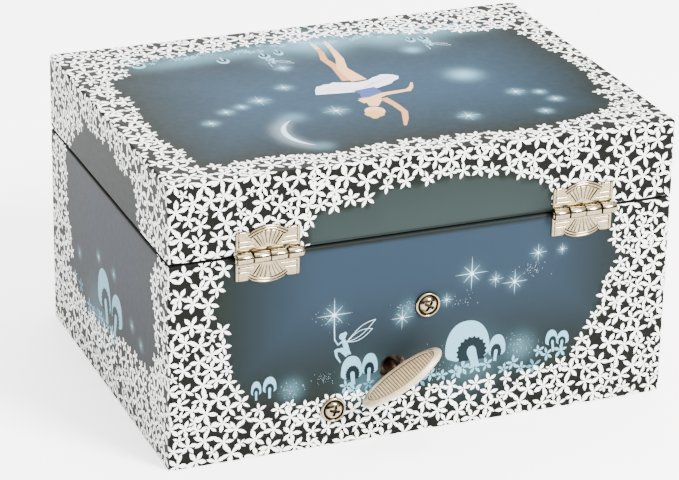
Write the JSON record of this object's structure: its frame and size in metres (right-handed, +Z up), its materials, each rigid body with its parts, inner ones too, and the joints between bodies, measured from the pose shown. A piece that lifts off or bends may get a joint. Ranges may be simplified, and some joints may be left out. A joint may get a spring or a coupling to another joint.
{
  "type": "musical jewellery box",
  "caption": "Paper-covered musical jewellery box: hinged lid with mirror, compartments, ring rolls, wind-up comb movement and a ballerina that folds down under the lid.",
  "frame": {"origin": "centre of the case's underside", "axes": "+Z up, +X along the case's length, +Y out of the back, where the hinges and the winding key are; the front is -Y"},
  "size_m": [0.152, 0.1232, 0.0853],
  "materials": {
    "printed_paper": "matt offset print with a dull varnish",
    "plain_paper": "uncoated",
    "greyboard": "plain pressed board",
    "flock_lining": "short flock, soft",
    "satin_foam": "satin over foam",
    "mirror_glass": "polished",
    "frame_card": "pearl card",
    "hinge_metal": "pale gold plated, stamped",
    "key_metal": "pale gold plated, polished",
    "screw_metal": "pale gold plated",
    "cast_bedplate": "as cast",
    "steel": "bright",
    "movement_brass": "turned",
    "movement_plastic": "moulded",
    "figure_plastic": "moulded and painted",
    "tulle": "stiff net"
  },
  "bodies": {
    "base": {"base_wrap": "printed_paper", "bottom_sheet": "plain_paper", "base_front_board": "greyboard", "base_left_board": "greyboard", "base_right_board": "greyboard", "base_bottom_board": "greyboard", "base_back_board": "greyboard", "base_lining": "flock_lining", "cross_partition": "flock_lining", "left_partition": "flock_lining", "right_partition": "flock_lining", "front_divider": "flock_lining", "platform": "flock_lining", "ring_roll_block": "satin_foam", "ring_roll_1": "satin_foam", "ring_roll_2": "satin_foam", "ring_roll_3": "satin_foam", "ring_roll_4": "satin_foam", "ring_roll_5": "satin_foam", "lower_hinge_leaf_left": "hinge_metal", "lower_hinge_leaf_right": "hinge_metal", "hinge_pin_left": "hinge_metal", "hinge_pin_right": "hinge_metal", "cup_washers": "screw_metal", "movement_screws": "screw_metal", "bedplate": "cast_bedplate", "barrel_bridge": "steel", "spindle_bracket": "steel", "governor_frame": "steel", "comb": "steel", "comb_screws": "steel", "ballerina_spring": "steel"},
    "lid": {"lid_wrap": "printed_paper", "lid_top_board": "greyboard", "lid_front_board": "greyboard", "lid_back_board": "greyboard", "lid_left_board": "greyboard", "lid_right_board": "greyboard", "lid_lining": "flock_lining", "mirror": "mirror_glass", "mirror_frame": "frame_card", "upper_hinge_leaf_left": "hinge_metal", "upper_hinge_leaf_right": "hinge_metal"},
    "key": {"winding_key": "key_metal", "winding_arbor": "steel"},
    "barrel": {"spring_barrel": "movement_brass", "barrel_cap": "movement_brass", "mainspring": "steel"},
    "cylinder": {"pinned_cylinder": "movement_brass"},
    "governor": {"governor_wheel": "movement_plastic"},
    "worm": {"governor_worm": "movement_brass", "air_fan": "movement_plastic"},
    "spindle": {"spindle": "steel"},
    "ballerina_mount": {"figure_peg": "figure_plastic"},
    "ballerina": {"ballerina_figure": "figure_plastic", "tutu": "tulle"},
    "stop_rod": {"stop_rod": "steel"}
  },
  "joints": [
    {"name": "lid_hinge", "type": "hinge", "parent": "base", "child": "lid", "pos_m": [0, 0.0569, 0.062], "axis": [-1, 0, 0], "range_deg": [0, 100]},
    {"name": "key_wind", "type": "hinge", "parent": "base", "child": "key", "pos_m": [0.0095, 0.0622, 0.0213], "axis": [0, -1, 0], "range_deg": [0, 1530], "deforming": ["mainspring"]},
    {"name": "cylinder_spin", "type": "hinge", "parent": "base", "child": "cylinder", "pos_m": [0.0095, 0.036, 0.038], "axis": [0, 0, 1], "continuous": true},
    {"name": "barrel_spin", "type": "hinge", "parent": "base", "child": "barrel", "pos_m": [0.0095, 0.043, 0.0213], "axis": [0, 1, 0], "continuous": true},
    {"name": "governor_spin", "type": "hinge", "parent": "base", "child": "governor", "pos_m": [-0.00084, 0.03224, 0.036], "axis": [0, 0, 1], "continuous": true},
    {"name": "worm_spin", "type": "hinge", "parent": "base", "child": "worm", "pos_m": [-0.00534, 0.036, 0.0376], "axis": [0, 1, 0], "continuous": true},
    {"name": "spindle_spin", "type": "hinge", "parent": "base", "child": "spindle", "pos_m": [0, 0.036, 0.048], "axis": [0, 0, 1], "continuous": true},
    {"name": "ballerina_fold", "type": "hinge", "parent": "base", "child": "ballerina_mount", "pos_m": [0, 0.036, 0.057], "axis": [-1, 0, 0], "range_deg": [0, 72], "deforming": ["ballerina_spring"]},
    {"name": "ballerina_spin", "type": "hinge", "parent": "ballerina_mount", "child": "ballerina", "pos_m": [0, 0.036, 0.057], "axis": [0, -0.9511, 0.309], "continuous": true},
    {"name": "stop_rod_slide", "type": "slide", "parent": "base", "child": "stop_rod", "axis": [0, 0, 1], "range_m": [0, 0.006]}
  ],
  "couplings": [
    {"joint": "barrel_spin", "follows": "cylinder_spin", "ratio": -0.23529},
    {"joint": "governor_spin", "follows": "cylinder_spin", "ratio": -4.5},
    {"joint": "worm_spin", "follows": "cylinder_spin", "ratio": -63},
    {"joint": "spindle_spin", "follows": "cylinder_spin", "ratio": -1.375},
    {"joint": "ballerina_spin", "follows": "cylinder_spin", "ratio": -1.375},
    {"joint": "ballerina_fold", "follows": "lid_hinge", "ratio": 0.72},
    {"joint": "stop_rod_slide", "follows": "lid_hinge", "m_per_rad": 0.0034377}
  ]
}
